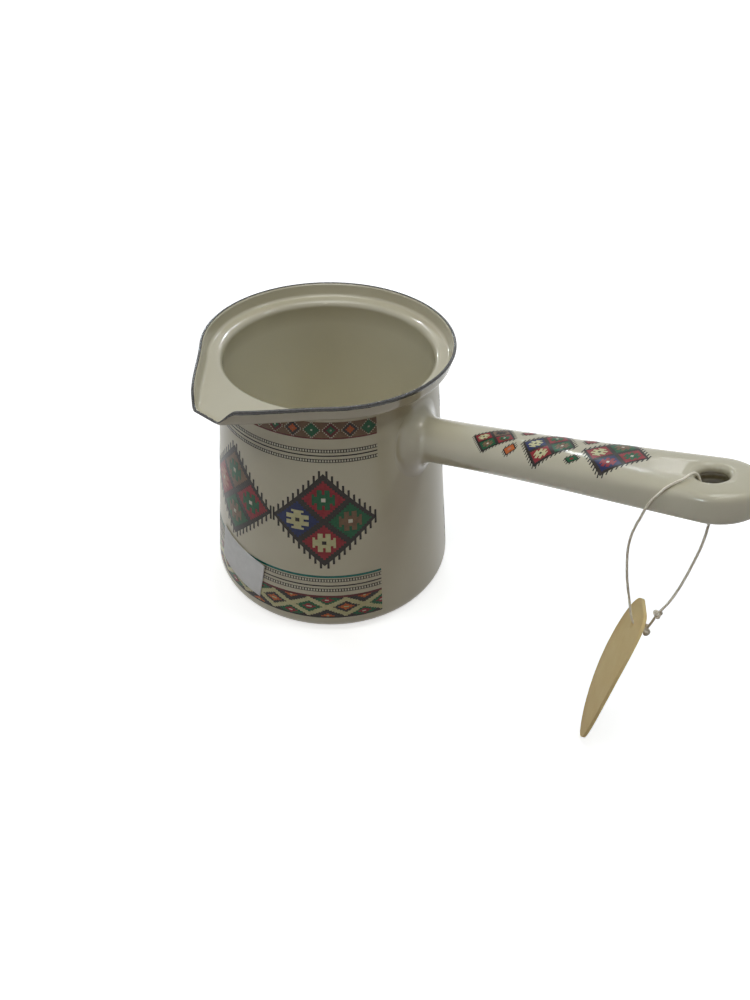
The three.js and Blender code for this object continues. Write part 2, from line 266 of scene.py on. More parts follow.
# Paper label on the wall; one corner curls up past a share of its two sides taken together
LABEL_WIDTH = 26 * MM
LABEL_HEIGHT = 17 * MM
LABEL_AZIMUTH = math.radians(-101.2)
LABEL_MIDDLE = 20.1 * MM
LABEL_TILT = math.radians(-7.5)
LABEL_LIFT = 0.3 * MM
LABEL_THICKNESS = 0.1 * MM
LABEL_WAVE = 0.05 * MM
LABEL_WAVE_FINENESS = 260
LABEL_CURL_START = 1.55
LABEL_CURL = 3 * MM
LABEL_COLUMNS = 40
LABEL_ROWS = 28

# Card tag: each half of its edge is a curve drawn by four corners, in shares of its half width and length
TAG_LENGTH = 58.5 * MM
TAG_WIDTH = 21 * MM
TAG_THICKNESS = 1 * MM
TAG_LOWER_EDGE = [(0.02, 0), (0.6, 0.02), (1, 0.3), (1, 0.58)]
TAG_UPPER_EDGE = [(1, 0.58), (1, 0.8), (0.85, 1), (0.3, 1)]
TAG_EDGE_STEPS = 24
TAG_COLUMNS = 12
TAG_SHARP = math.radians(40)
TAG_BOW = 1.6 * MM
TAG_HOLE_DIAMETER = 2.6 * MM
TAG_HOLE_FROM_TOP = 7 * MM
TAG_HOLE_STEPS = 32
TAG_PUNCH_REACH = 4 * MM
TAG_HOLE = Vector((129.3, -11.8, 51.1)) * MM
TAG_TIP = Vector((126.3, -21.2, 0.6)) * MM
TAG_FACING = math.radians(24)

# String and its knots
CORD_DIAMETER = 0.75 * MM
CORD_PLIES = 3
CORD_PLY_DEPTH = 0.05
CORD_TWIST = FULL_TURN / (1.1 * MM)
CORD_SIDES = 12
CORD_STEPS = 8
UPPER_KNOT = Vector((133.8, -10.5, 58)) * MM
UPPER_KNOT_TURN = 0.4
UPPER_KNOT_SIZE = 0.38 * MM
LOWER_KNOT = Vector((132.4, -10.8, 49.9)) * MM
LOWER_KNOT_TURN = 1.7
LOWER_KNOT_SIZE = 0.55 * MM
KNOT_TILT = 1.1
KNOT_STRAND_RADIUS = 0.55 * CORD_DIAMETER
KNOT_SIDES = 10
KNOT_STEPS = 60

# The string's route in millimetres: up the left strand, over the handle, down its hole,
# down the right strand and along the tie between the two knots
CORD_ROUTE = [
    (131.1, -11.2, 50.4), (129.3, -11.8, 51.1), (128.2, -12.1, 52.2), (127.2, -12.2, 54.2),
    (125.9, -12.1, 57.6), (123.1, -12, 65.5), (121.4, -12, 71.8), (120.2, -12.1, 78),
    (119.9, -12.1, 83.5), (120.4, -12.1, 88.7),
    (120.6, -12.1, 89.5), (121.2, -12.1, 93.9), (122, -12.1, 97.3), (123, -11.8, 99.6),
    (124.1, -10.4, 101.7), (125.6, -8.7, 103.2), (127.1, -6.9, 104.2), (127.9, -4.7, 104.6),
    (128.6, -2.8, 104.3), (129.6, -1.7, 103.2), (130.8, -1.6, 101.2), (132.6, -2, 98.6),
    (134.7, -2.6, 96), (135.8, -3.2, 94.2), (136.7, -4.2, 92), (137.1, -5, 89.5),
    (137.2, -5.2, 88.7), (137.4, -6.2, 84.5), (137.2, -7.4, 79), (136.7, -8.6, 72), (135.7, -9.7, 65),
    (134.2, -10.4, 59.5), (133.5, -10.6, 56.5), (133.1, -10.7, 54), (132.6, -10.8, 51.4),
]

# Camera at the photograph's viewing angle; its pitch, yaw and roll are taken before the turn
CAMERA_PLACE = Vector((153.3, -182.7, 229.5)) * MM
CAMERA_PITCH = math.radians(40.59)
CAMERA_YAW = math.radians(4.19)
CAMERA_ROLL = math.radians(1.38)
CAMERA_TURN = math.radians(40)
CAMERA_LENS = 27.36
CAMERA_SENSOR = 36
CAMERA_NEAREST = 0.01

# Floor: white where it is seen, and a warm table for the light that it throws back;
# its own glow grows from the pot outwards
FLOOR_HALF = 3
FLOOR_TABLE = (0.22, 0.165, 0.12, 1)
FLOOR_TABLE_ROUGHNESS = 0.9
FLOOR_WHITE = (0.8, 0.8, 0.8, 1)
FLOOR_FADE = (0.1, 0.6)
FLOOR_GLOW = (0.65, 1)

# Lamps: place, what it points at, its two sides, its watts, its colour and the angle that it spreads over
POT_MIDDLE = (0.03, 0, 0.06)
HANDLE_MIDDLE = (0.12, 0, 0.095)
WHITE = (1, 1, 1)
DAYLIGHT = (0.98, 1, 0.99)
LAMPLIGHT = (1, 0.95, 0.86)
WARM = (1, 0.82, 0.6)
COOL = (0.82, 0.94, 1)
WIDE = math.pi
NARROW = math.radians(12)
LAMPS = {
    "ceiling": ((0, 0, 1.5), POT_MIDDLE, (0.8, 0.8), 6.8, DAYLIGHT, WIDE),
    "front_light": ((0.3, -0.48, 1.05), POT_MIDDLE, (0.4, 0.03), 1.1, LAMPLIGHT, WIDE),
    "tube_left": ((-1.05, 0.55, 0.34), HANDLE_MIDDLE, (0.3, 0.006), 1.3, COOL, WIDE),
    "tube_middle": ((-0.55, 0.8, 0.8), POT_MIDDLE, (0.25, 0.006), 1.2, COOL, WIDE),
    "tube_back": ((-0.32, 0.97, 0.64), HANDLE_MIDDLE, (0.1, 0.01), 0.1, WHITE, WIDE),
    "tube_right": ((0.62, 0.41, 1.02), POT_MIDDLE, (0.25, 0.006), 1.8, COOL, WIDE),
    "tube_front": ((-0.37, -0.55, 0.9), HANDLE_MIDDLE, (0.3, 0.006), 0.8, WHITE, WIDE),
    "left_fill": ((-0.6, -0.75, 0.4), POT_MIDDLE, (1.1, 0.7), 0.8, COOL, WIDE),
    "right_fill": ((1.1, 0.3, 0.5), POT_MIDDLE, (0.4, 0.4), 0.1, WARM, WIDE),
    "handle_fill": ((-0.1, -0.9, 0.15), HANDLE_MIDDLE, (0.2, 0.2), 0.017, COOL, NARROW),
}
ROOM_STRENGTH = 0.05


def smooth_step(low, high, value):
    t = min(max((value - low) / (high - low), 0), 1)
    return t * t * (3 - 2 * t)


def soft_minimum(a, b, blend):
    """The smaller of two values, rounded off where they are less than the blend apart."""
    near = max(blend - abs(a - b), 0) / blend
    return min(a, b) - near * near * blend / 4


def mix(a, b, t):
    return a + (b - a) * t


# Materials
def set_sockets(node, values):
    for name, value in values.items():
        node.inputs[name].default_value = value


def add_node(tree, kind, **sockets):
    """A new shading node, with values for its input sockets; a socket's spaces are written as _."""
    node = tree.nodes.new(kind)
    set_sockets(node, {name.replace("_", " "): value for name, value in sockets.items()})
    return node


def link(output, socket):
    socket.id_data.links.new(output, socket)


def node_material(name):
    material = bpy.data.materials.new(name)
    material.use_nodes = True
    shader = material.node_tree.nodes["Principled BSDF"]
    return material, material.node_tree, shader


def noise_colour(tree, shader, dark, light, scale, low=0.35, high=0.65, stretch=None):
    """Feeds the base colour from a noise between two colours, in object coordinates."""
    place = add_node(tree, "ShaderNodeTexCoord").outputs["Object"]
    if stretch:
        mapping = add_node(tree, "ShaderNodeMapping", Scale=stretch)
        link(place, mapping.inputs["Vector"])
        place = mapping.outputs["Vector"]
    cloud = add_node(tree, "ShaderNodeTexNoise", Scale=scale, Detail=4)
    ramp = add_node(tree, "ShaderNodeValToRGB")
    for stop, position, colour in zip(ramp.color_ramp.elements, (low, high), (dark, light)):
        stop.position = position
        stop.color = (*colour, 1)
    link(place, cloud.inputs["Vector"])
    link(cloud.outputs["Fac"], ramp.inputs["Fac"])
    link(ramp.outputs["Color"], shader.inputs["Base Color"])
    return ramp


def add_attribute(tree, name):
    node = add_node(tree, "ShaderNodeAttribute")
    node.attribute_name = name
    return node.outputs["Fac"]


def enamel_material():
    """Cream enamel, with painted light that makes it lighter down inside the pot, and duller on the wall
    outside.
    """
    material, tree, shader = node_material("cream_enamel")
    ramp = noise_colour(tree, shader, ENAMEL_DARK, ENAMEL_LIGHT, scale=45)
    # Painted light: the enamel is mixed towards a lighter colour the deeper inside the pot it lies
    lit_inside = add_node(tree, "ShaderNodeMixRGB", Color2=ENAMEL_INSIDE_LIT)
    link(add_attribute(tree, INSIDE_LIGHT_SHARE), lit_inside.inputs["Fac"])
    link(ramp.outputs["Color"], lit_inside.inputs["Color1"])
    link(lit_inside.outputs["Color"], shader.inputs["Base Color"])
    dull = add_node(tree, "ShaderNodeMapRange", To_Min=ENAMEL_ROUGHNESS, To_Max=WALL_ROUGHNESS)
    link(add_attribute(tree, OUTSIDE_DULL), dull.inputs["Value"])
    link(dull.outputs["Result"], shader.inputs["Roughness"])
    set_sockets(shader, {"Specular IOR Level": 0.5})
    waves = add_node(tree, "ShaderNodeTexNoise", Scale=300, Detail=3)
    bump = add_node(tree, "ShaderNodeBump", Strength=0.035, Distance=0.4 * MM)
    link(waves.outputs["Fac"], bump.inputs["Height"])
    link(bump.outputs["Normal"], shader.inputs["Normal"])
    return material


def gloss_material(name, dark, light, scale, roughness, specular=0.5):
    material, tree, shader = node_material(name)
    noise_colour(tree, shader, dark, light, scale)
    set_sockets(shader, {"Roughness": roughness, "Specular IOR Level": specular})
    return material


def card_material():
    material, tree, shader = node_material("tag_card")
    noise_colour(tree, shader, (0.84, 0.63, 0.29), (0.9, 0.71, 0.37), scale=90, low=0.3, high=0.7,
                 stretch=(3, 1.2, 1.2))
    set_sockets(shader, {"Roughness": 0.75})
    return material


def ink_material(name):
    dark, light = INK_COLOURS[name]
    return gloss_material("ink_" + name, dark, light, scale=700, roughness=0.3, specular=0.22)


ENAMEL = enamel_material()
EDGING = gloss_material("dark_edging", (0.014, 0.013, 0.013), (0.05, 0.046, 0.044), scale=900, roughness=0.25)
PAPER = gloss_material("label_paper", (0.86, 0.87, 0.88), (0.92, 0.93, 0.94), scale=300, roughness=0.6)
CARD = card_material()
STRING = gloss_material("string_thread", (0.86, 0.78, 0.65), (0.96, 0.9, 0.78), scale=1500, roughness=0.9,
                        specular=0.2)
INKS = {name: ink_material(name) for name in INK_COLOURS}


# Meshes
def add_object(name, vertices, faces, material, body, replaces=(), smooth=True):
    mesh = bpy.data.meshes.new(name)
    mesh.from_pydata([tuple(v) for v in vertices], [], faces)
    mesh.materials.append(material)
    mesh.polygons.foreach_set("use_smooth", [smooth] * len(mesh.polygons))
    thing = bpy.data.objects.new(name, mesh)
    bpy.context.collection.objects.link(thing)
    if body:
        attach(thing, body)
    if replaces:
        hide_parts(*replaces)
    return thing


def ring_faces(rings, around, closed=False):
    """Faces between neighbouring rings of points, and from the last ring to the first where closed."""
    faces = []
    for ring in range(rings if closed else rings - 1):
        here = ring * around
        after = (ring + 1) % rings * around
        for step in range(around):
            turn = (step + 1) % around
            faces.append((here + step, here + turn, after + turn, after + step))
    return faces


def capped_faces(rings, around):
    """Faces between rings of points, with the first and the last ring closed."""
    first = tuple(reversed(range(around)))
    last = tuple(range((rings - 1) * around, rings * around))
    return ring_faces(rings, around) + [first, last]


def slab_faces(across, upward):
    """Faces of a thin slab: two grids of points, the second one in front, and the border between them."""
    faces = []
    line = across + 1
    second = line * (upward + 1)
    for first in (0, second):
        for row in range(upward):
            for column in range(across):
                corner = first + row * line + column
                face = (corner, corner + 1, corner + line + 1, corner + line)
                faces.append(face if first else tuple(reversed(face)))
    border = list(range(across))
    border += [row * line + across for row in range(upward)]
    border += [upward * line + column for column in range(across, 0, -1)]
    border += [row * line for row in range(upward, 0, -1)]
    for here, after in zip(border, border[1:] + border[:1]):
        faces.append((here, after, after + second, here + second))
    return faces


def punch(thing, vertices, faces):
    """Cuts a closed shape out of a mesh for good."""
    cutter = add_object("cutter", vertices, faces, thing.data.materials[0], None)
    cut = thing.modifiers.new("cut", "BOOLEAN")
    cut.object = cutter
    cut.operation = "DIFFERENCE"
    cut.solver = "EXACT"
    bpy.context.view_layer.update()
    done = thing.evaluated_get(bpy.context.evaluated_depsgraph_get())
    mesh = bpy.data.meshes.new_from_object(done)
    thing.modifiers.clear()
    thing.data = mesh
    mesh.polygons.foreach_set("use_smooth", [True] * len(mesh.polygons))
    bpy.data.objects.remove(cutter)


# Pot body
def arc(middle, radius, start, end, steps):
    points = []
    for step in range(steps + 1):
        angle = mix(start, end, step / steps)
        points.append((middle[0] + radius * math.cos(angle), middle[1] + radius * math.sin(angle)))
    return points


def between(start, end, steps):
    """Points on a straight line, without its two ends."""
    return [(mix(start[0], end[0], k / steps), mix(start[1], end[1], k / steps)) for k in range(1, steps)]


def wall_line():
    """Middles of the base corner and of the neck's fillet, and the lean of the wall that touches both."""
    corner = (BASE_RADIUS - BASE_CORNER, BASE_CORNER)
    neck = (NECK_RADIUS + NECK_FILLET, NECK_HEIGHT)
    across = neck[0] - corner[0]
    rise = neck[1] - corner[1]
    lean = math.atan2(rise, across) - math.acos((BASE_CORNER + NECK_FILLET) / math.hypot(across, rise))
    return corner, neck, lean


CORNER_MIDDLE, NECK_MIDDLE, WALL_LEAN = wall_line()


def wall_radius(height):
    narrowing = (height - CORNER_MIDDLE[1]) * math.sin(WALL_LEAN)
    return CORNER_MIDDLE[0] + (BASE_CORNER - narrowing) / math.cos(WALL_LEAN)


def leaning(angle):
    """Direction that leans outwards from upright by an angle."""
    return Vector((math.sin(angle), math.cos(angle)))


def left_of(angle):
    """Direction square to a leaning one, towards the inside."""
    return Vector((-math.cos(angle), math.sin(angle)))


def cross(a, b):
    return a.x * b.y - a.y * b.x


def collar_middle():
    """Middle of the fillet between the shelf and the leaning edge."""
    shelf_start = Vector(NECK_MIDDLE) + left_of(SHELF_LEAN) * NECK_FILLET
    turn = (left_of(SHELF_LEAN) - left_of(COLLAR_LEAN)) * COLLAR_FILLET
    straights = Vector((RIM_RADIUS, POT_HEIGHT)) - shelf_start - turn
    run = cross(straights, leaning(COLLAR_LEAN)) / cross(leaning(SHELF_LEAN), leaning(COLLAR_LEAN))
    return shelf_start + leaning(SHELF_LEAN) * run + left_of(SHELF_LEAN) * COLLAR_FILLET


def outer_profile():
    """Points of the outer face from the base edge to the rim, each with the lip's pull on it."""
    base = arc(CORNER_MIDDLE, BASE_CORNER, -QUARTER_TURN, WALL_LEAN, BASE_STEPS)
    throat = arc(NECK_MIDDLE, NECK_FILLET, math.pi + WALL_LEAN, math.pi - SHELF_LEAN, THROAT_STEPS)
    bend = arc(collar_middle(), COLLAR_FILLET, -SHELF_LEAN, -COLLAR_LEAN, COLLAR_STEPS)
    shelf = between(throat[-1], bend[0], SHELF_STEPS)
    edge = between(bend[-1], (RIM_RADIUS, POT_HEIGHT), EDGE_STEPS)
    still = base + between(base[-1], throat[0], WALL_STEPS) + throat
    pulls = [0] * len(still)
    pulls += [k / SHELF_STEPS for k in range(1, SHELF_STEPS)]
    pulls += [1] * (len(bend) + len(edge))
    return still + shelf + bend + edge, pulls


def inset(profile, distance):
    """The profile moved inwards, square to its run; its first point moves straight up."""
    moved = []
    for order, point in enumerate(profile):
        before = profile[max(order - 1, 0)]
        after = profile[min(order + 1, len(profile) - 1)]
        along = Vector((after[0] - before[0], after[1] - before[1])).normalized()
        inward = Vector((0, 1)) if order == 0 else Vector((-along.y, along.x))
        moved.append((point[0] + inward.x * distance, point[1] + inward.y * distance))
    return moved


def lip_at(azimuth):
    """How far the lip carries the rim outwards at an azimuth, and how far the rim dips there."""
    turn = abs(math.atan2(math.sin(azimuth - LIP_AZIMUTH), math.cos(azimuth - LIP_AZIMUTH)))
    tangent_turn = QUARTER_TURN - LIP_HALF_ANGLE
    if turn > tangent_turn:
        return 0, 0
    apex = RIM_RADIUS / math.sin(LIP_HALF_ANGLE)
    tip = apex - LIP_TIP_WIDTH / 2 / math.tan(LIP_HALF_ANGLE)
    bulge = LIP_BULGE * math.sin(math.pi * (1 - turn / tangent_turn) ** 2)
    side = RIM_RADIUS / math.cos(tangent_turn - turn) + bulge
    front = tip / math.cos(turn)
    radius = soft_minimum(side, front, LIP_CORNER)
    across = radius * math.sin(turn)
    dip = LIP_DIP * (1 - smooth_step(LIP_TIP_WIDTH / 2, LIP_TIP_WIDTH / 2 + LIP_DIP_RUN, across))
    return radius - RIM_RADIUS, dip


def azimuths():
    """Azimuths for one turn, closer together over the lip."""
    turns = []
    for step in range(ROUND_STEPS):
        t = step / ROUND_STEPS * FULL_TURN
        turns.append(LIP_AZIMUTH + t - LIP_CROWDING * math.sin(t))
    return turns


OUTSIDE, PULLS = outer_profile()
INSIDE = inset(OUTSIDE, WALL)
RIM_MIDDLE = (RIM_RADIUS - WALL / 2, POT_HEIGHT - WALL / 2)
SHELF_HEIGHT = OUTSIDE[PULLS.index(1)][1]
AZIMUTHS = azimuths()
LIPS = [lip_at(azimuth) for azimuth in AZIMUTHS]


def rise_at(height):
    """Share of the lip's dip that a height takes: none up to the shelf, all of it at the rim."""
    return max(0, (height - SHELF_HEIGHT) / (POT_HEIGHT - SHELF_HEIGHT))


RISES = [rise_at(height) for radius, height in OUTSIDE]


def pot_ring(radius, height, pull=0, rise=0):
    """One turn of points at a profile point: the lip pulls it outwards and its dip lowers it."""
    ring = []
    for azimuth, (reach, dip) in zip(AZIMUTHS, LIPS):
        out = radius + reach * pull
        ring.append(Vector((out * math.cos(azimuth), out * math.sin(azimuth), height - dip * rise)))
    return ring


def profile_rings(profile):
    return [pot_ring(*point, pull, rise) for point, pull, rise in zip(profile, PULLS, RISES)]


def make_body():
    """The body's skin: out under the base, up the wall, over the rim, down inside and to the middle."""
    rings = [pot_ring(BASE_EYE, 0), pot_ring(BASE_RADIUS / 2, 0)]
    rings += profile_rings(OUTSIDE)
    rings += [pot_ring(r, z, 1, rise_at(z)) for r, z in arc(RIM_MIDDLE, WALL / 2, 0, math.pi, RIM_STEPS)]
    first_inside = len(rings) * ROUND_STEPS
    rings += reversed(profile_rings(INSIDE))
    rings += [pot_ring(BASE_RADIUS / 2, WALL), pot_ring(BASE_EYE, WALL)]
    vertices = [point for ring in rings for point in ring]
    faces = capped_faces(len(rings), ROUND_STEPS)
    body = add_object("enamel_body", vertices, faces, ENAMEL, "pot", ["pot_body"])
    # Painted light: each point inside the pot gets its share of the lighter enamel by its height
    depth = body.data.attributes.new(INSIDE_LIGHT_SHARE, "FLOAT", "POINT")
    for order in range(first_inside, len(vertices)):
        depth.data[order].value = smooth_step(*INSIDE_LIGHT_HEIGHTS, vertices[order].z)
    dullness = body.data.attributes.new(OUTSIDE_DULL, "FLOAT", "POINT")
    for order in range(first_inside):
        dullness.data[order].value = 1 if vertices[order].z < NECK_HEIGHT else 0


def make_edging():
    """The dark band wiped onto the rim, with the slightly ragged borders that it dries with."""
    half = WALL / 2 + EDGING_PROUD
    foot = RIM_MIDDLE[1] - EDGING_OUTSIDE
    foot_radius = RIM_RADIUS + EDGING_PROUD - (POT_HEIGHT - foot) * math.tan(COLLAR_LEAN)
    section = [(foot_radius, foot)]
    section += arc(RIM_MIDDLE, half, 0, EDGING_TURN, EDGING_OUTER_STEPS)
    section += arc(RIM_MIDDLE, half - EDGING_THICKNESS, EDGING_TURN, 0, EDGING_INNER_STEPS)
    section.append((foot_radius - EDGING_THICKNESS, foot))
    border = EDGING_OUTER_STEPS + 1
    ragged = {0: 1, border - 1: -0.5, border: -1, border + 1: -1, len(section) - 1: 1}
    vertices = []
    for order, (radius, height) in enumerate(section):
        for point in pot_ring(radius, height, 1, rise_at(height)):
            wave = sum(reach * noise.noise(point * fineness) for reach, fineness in EDGING_WAVES)
            point.z += ragged.get(order, 0) * wave
            vertices.append(point)
    faces = ring_faces(len(section), ROUND_STEPS, closed=True)
    add_object("rim_edge", vertices, faces, EDGING, "pot", ["rim_edging"])


# Handle
HANDLE_PLACE = Matrix.Translation(HANDLE_ROOT) @ Matrix.Rotation(-HANDLE_TILT, 4, "Y")


def nose_share(nose, power):
    return (1 - nose ** power) ** (1 / power)


def handle_half_sizes(along):
    """Half width and half thickness of the handle, and how square its section is."""
    share = min(max(along / NOSE_START, 0), 1)
    nose = min(max(0, (along - NOSE_START) / NOSE_LENGTH), 1)
    width = mix(HANDLE_ROOT_WIDTH, HANDLE_END_WIDTH, share) / 2
    thickness = mix(HANDLE_ROOT_THICKNESS, HANDLE_END_THICKNESS, share) / 2
    square = mix(HANDLE_ROUNDNESS, HANDLE_END_SQUARENESS, share ** HANDLE_SQUARE_RISE)
    width *= nose_share(nose, NOSE_WIDTH_POWER)
    thickness *= nose_share(nose, NOSE_THICKNESS_POWER)
    return width, thickness, square


def signed_power(value, power):
    return math.copysign(abs(value) ** power, value)


def handle_section(along, grow=0):
    """Points round the handle, from its far side over the top to its near side and back below."""
    width, thickness, square = handle_half_sizes(along)
    points = []
    for step in range(HANDLE_STEPS):
        angle = step / HANDLE_STEPS * FULL_TURN
        across = signed_power(math.cos(angle), 2 / square) * width
        up = signed_power(math.sin(angle), 2 / square) * thickness
        outward = Vector((across / width ** 2, up / thickness ** 2)).normalized() * grow
        points.append((across + outward.x, up + outward.y))
    return points


def wall_along(across, up):
    """How far along the handle's axis the pot's wall lies, for a line beside that axis."""
    along = 0
    for _ in range(WALL_TRIES):
        point = HANDLE_PLACE @ Vector((along, across, up))
        along += math.sqrt(max(wall_radius(point.z) ** 2 - point.y ** 2, 0)) - point.x
    return along


def root_ring(gap, lift):
    """A ring of the root's fillet, by its gap from the wall and its lift from the handle's side."""
    return [Vector((wall_along(across, up) + gap, across, up)) for across, up in handle_section(0, lift)]


def handle_rings():
    """Rings of points from the wall to the nose, in the handle's own axes."""
    rings = [root_ring(-ROOT_SUNK, ROOT_FILLET + ROOT_SKIRT)]
    for step in range(ROOT_STEPS + 1):
        turn = step / ROOT_STEPS * QUARTER_TURN
        rings.append(root_ring(ROOT_FILLET * (1 - math.cos(turn)), ROOT_FILLET * (1 - math.sin(turn))))
    stations = [mix(SHAFT_START, NOSE_START, k / SHAFT_STEPS) for k in range(SHAFT_STEPS + 1)]
    for k in range(1, NOSE_STEPS):
        stations.append(NOSE_START + NOSE_LENGTH * math.sin(k / NOSE_STEPS * QUARTER_TURN))
    stations.append(NOSE_START + NOSE_LENGTH * NOSE_FLAT)
    for along in stations:
        rings.append([Vector((along, across, up)) for across, up in handle_section(along)])
    return rings


def make_handle():
    rings = handle_rings()
    vertices = [HANDLE_PLACE @ point for ring in rings for point in ring]
    faces = capped_faces(len(rings), HANDLE_STEPS)
    handle = add_object("enamel_handle", vertices, faces, ENAMEL, None)
    punch_hole(handle)
    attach(handle, "pot")
    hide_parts("handle_upper_shell", "handle_lower_shell")


def hole_profile():
    """Half the hole's profile, from above the handle to its hollow: distance out and height."""
    radius = HOLE_DIAMETER / 2
    top = HANDLE_END_THICKNESS / 2 + HOLE_EDGE_PROUD
    edge_foot = top - HOLE_EDGE_ROUND
    profile = [(radius + HOLE_EDGE_REACH, top + HOLE_EDGE_ROUND)]
    for k in range(HOLE_EDGE_STEPS + 1):
        angle = QUARTER_TURN * (1 - k / HOLE_EDGE_STEPS)
        out = radius + HOLE_EDGE_ROUND * (1 - math.cos(angle))
        profile.append((out, edge_foot + HOLE_EDGE_ROUND * math.sin(angle)))
    profile.append((radius, edge_foot - HOLE_ROLL))
    profile.append((radius + HOLE_HOLLOW, edge_foot - HOLE_ROLL))
    return profile


def punch_hole(handle):
    """Cuts the hanging hole: rolled edges at both faces and the handle's hollow between them."""
    profile = hole_profile()
    profile += [(out, -up) for out, up in reversed(profile)]
    vertices = []
    for out, up in profile:
        for step in range(HOLE_STEPS):
            angle = step / HOLE_STEPS * FULL_TURN
            along = HANDLE_LENGTH - HOLE_FROM_END + out * math.cos(angle)
            vertices.append(HANDLE_PLACE @ Vector((along, out * math.sin(angle), up)))
    faces = [tuple(reversed(face)) for face in capped_faces(len(profile), HOLE_STEPS)]
    punch(handle, vertices, faces)


# Transfers: thin sheets of ink, one mesh to each ink and surface
def add_quad(sheets, ink, place, layer, corners):
    """Adds a four-cornered patch of ink at a layer; place gives the surface point and its normal."""
    vertices, normals, faces = sheets.setdefault(ink, ([], [], []))
    first = len(vertices)
    for u, v in corners:
        point, normal = place(u, v)
        vertices.append(point + normal * LAYER_LIFT * layer)
        normals.append(normal)
    faces.append((first, first + 1, first + 2, first + 3))


def add_box(sheets, ink, place, layer, u, v):
    """A box of ink from u[0] to u[1] and v[0] to v[1], cut into short lengths that follow the surface."""
    count = max(1, math.ceil((u[1] - u[0]) / BOX_STEP))
    for k in range(count):
        left = mix(*u, k / count)
        right = mix(*u, (k + 1) / count)
        add_quad(sheets, ink, place, layer, [(left, v[0]), (right, v[0]), (right, v[1]), (left, v[1])])


def add_square(sheets, ink, place, layer, middle, half):
    sides = [(coordinate - half, coordinate + half) for coordinate in middle]
    add_box(sheets, ink, place, layer, *sides)


def finish_sheets(sheets, prefix):
    for ink, (vertices, normals, faces) in sheets.items():
        sheet = add_object(prefix + ink, vertices, faces, INKS[ink], "pot")
        sheet.data.normals_split_custom_set_from_vertices([tuple(normal) for normal in normals])


PRINT_RADIUS = wall_radius(MEDALLION_HEIGHT)
PRINT_ENDS = (PRINT_GAP * PRINT_RADIUS, (FULL_TURN - PRINT_GAP) * PRINT_RADIUS)


def on_wall(girth, height):
    """Wall point and normal at a length round the girth, measured from the handle, and a height."""
    azimuth = girth / PRINT_RADIUS
    out = Vector((math.cos(azimuth), math.sin(azimuth), 0))
    point = out * wall_radius(height) + Vector((0, 0, height))
    normal = out * math.cos(WALL_LEAN) + Vector((0, 0, math.sin(WALL_LEAN)))
    return point, normal


def runs(row, mark):
    """Start and end of each run of a mark in a row of marks."""
    return [run.span() for run in re.finditer(mark + "+", row)]


def draw_small_diamond(sheets, place, middle, inks, turned):
    """A stepped diamond with a hooked motif, which is turned on its side where asked, and a heart."""
    ground, motif, centre = inks
    for row in range(-STEPS_HALF, STEPS_HALF + 1):
        half = (STEPS_HALF - abs(row) + 0.5) * STEP_CELL
        low = middle[1] + (row - 0.5) * STEP_CELL
        add_box(sheets, ground, place, 2, (middle[0] - half, middle[0] + half), (low, low + STEP_CELL))
    pattern = HOOKED_MOTIF
    if turned:
        pattern = ["".join(column) for column in zip(*HOOKED_MOTIF)]
    side = len(pattern)
    for order, row in enumerate(pattern):
        low = middle[1] + (order - side / 2) * MOTIF_CELL
        for mark, ink in (("#", motif), ("o", centre)):
            for start, end in runs(row, mark):
                left = middle[0] + (start - side / 2) * MOTIF_CELL
                right = middle[0] + (end - side / 2) * MOTIF_CELL
                add_box(sheets, ink, place, 3, (left, right), (low, low + MOTIF_CELL))
    add_square(sheets, centre, place, 4, middle, MOTIF_HEART)


def draw_plain_diamond(sheets, place, ink, layer, wide, tall):
    for row in range(DIAMOND_ROWS):
        low = mix(-tall, tall, row / DIAMOND_ROWS)
        high = mix(-tall, tall, (row + 1) / DIAMOND_ROWS)
        low_half = wide * (1 - abs(low) / tall)
        high_half = wide * (1 - abs(high) / tall)
        count = max(1, math.ceil(2 * max(low_half, high_half) / DIAMOND_STEP))
        for k in range(count):
            left = 2 * k / count - 1
            right = 2 * (k + 1) / count - 1
            add_quad(sheets, ink, place, layer, [(left * low_half, low), (right * low_half, low),
                                                 (right * high_half, high), (left * high_half, high)])


def draw_fringe(sheets, place, ink, wide, tall, scale=1):
    """Upright teeth along the four sides of a diamond."""
    width = TOOTH_WIDTH * scale
    teeth = int((wide - TOOTH_FIRST * scale) / (TOOTH_PITCH * scale)) + 1
    for order in range(teeth):
        middle = (TOOTH_FIRST + order * TOOTH_PITCH) * scale
        edge = tall * max(0, 1 - (middle + width / 2) / wide)
        for side in (-1, 1):
            across = (side * middle - width / 2, side * middle + width / 2)
            for up in (-1, 1):
                low, high = sorted((up * (edge - TOOTH_ROOT * scale), up * (edge + TOOTH_REACH * scale)))
                half_way = mix(low, high, 0.5)
                add_box(sheets, ink, place, FRINGE_LAYER, across, (low, half_way))
                add_box(sheets, ink, place, FRINGE_LAYER, across, (half_way, high))


def draw_medallion(sheets, place, inks):
    """A dark diamond fringed with upright teeth, holding four small stepped diamonds."""
    draw_plain_diamond(sheets, place, "dark", 1, *MEDALLION_HALF)
    draw_fringe(sheets, place, "dark", *MEDALLION_HALF)
    away, up = SMALL_OFFSET
    for order, middle in enumerate([(0, up), (-away, 0), (away, 0), (0, -up)]):
        draw_small_diamond(sheets, place, middle, inks[order], turned=order == 1)


def draw_line(sheets, ink, low, high, layer=1):
    add_box(sheets, ink, on_wall, layer, PRINT_ENDS, (low * MM, high * MM))


